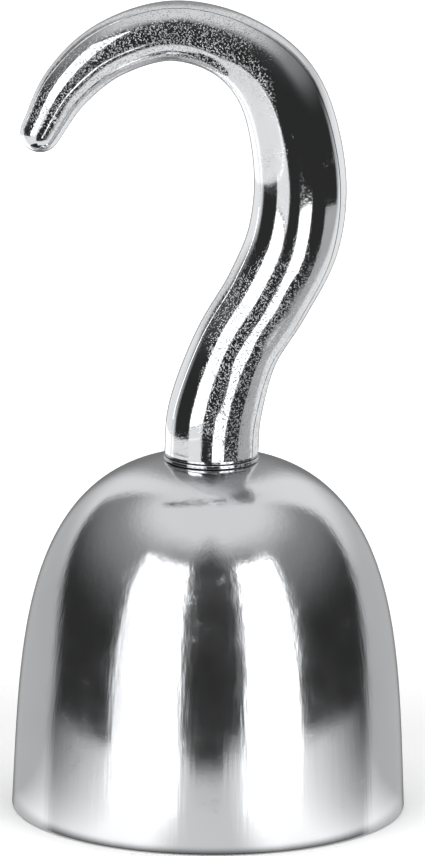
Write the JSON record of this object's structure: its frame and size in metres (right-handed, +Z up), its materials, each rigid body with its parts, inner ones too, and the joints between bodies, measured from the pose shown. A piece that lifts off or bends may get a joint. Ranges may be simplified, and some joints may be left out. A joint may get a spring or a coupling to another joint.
{
  "type": "costume pirate hook",
  "caption": "Hollow bell-shaped hand cup with a round S-shaped hook standing on its crown and a hand grip inside.",
  "frame": {"origin": "middle of the cup's open rim, on the plane that the rim stands on", "axes": "+Z up along the cup's axis, the hook bends in the XZ plane with its point towards -X, -Y is the front"},
  "size_m": [0.114, 0.114, 0.2383],
  "materials": {
    "bright_plating": "polished",
    "grip_plastic": "satin",
    "zinc_steel": "satin"
  },
  "bodies": {
    "cup": {"cup_shell": "bright_plating"},
    "hook": {"hook_back_shell": "bright_plating", "hook_front_shell": "bright_plating", "shank_plug": "bright_plating", "backing_washer": "zinc_steel", "grip_handle": "grip_plastic", "handle_screw": "zinc_steel", "screw_washer": "zinc_steel"}
  },
  "joints": [
    {"name": "hook_turn", "type": "hinge", "parent": "cup", "child": "hook", "pos_m": [0, 0, 0.103], "axis": [0, 0, 1], "continuous": true}
  ]
}
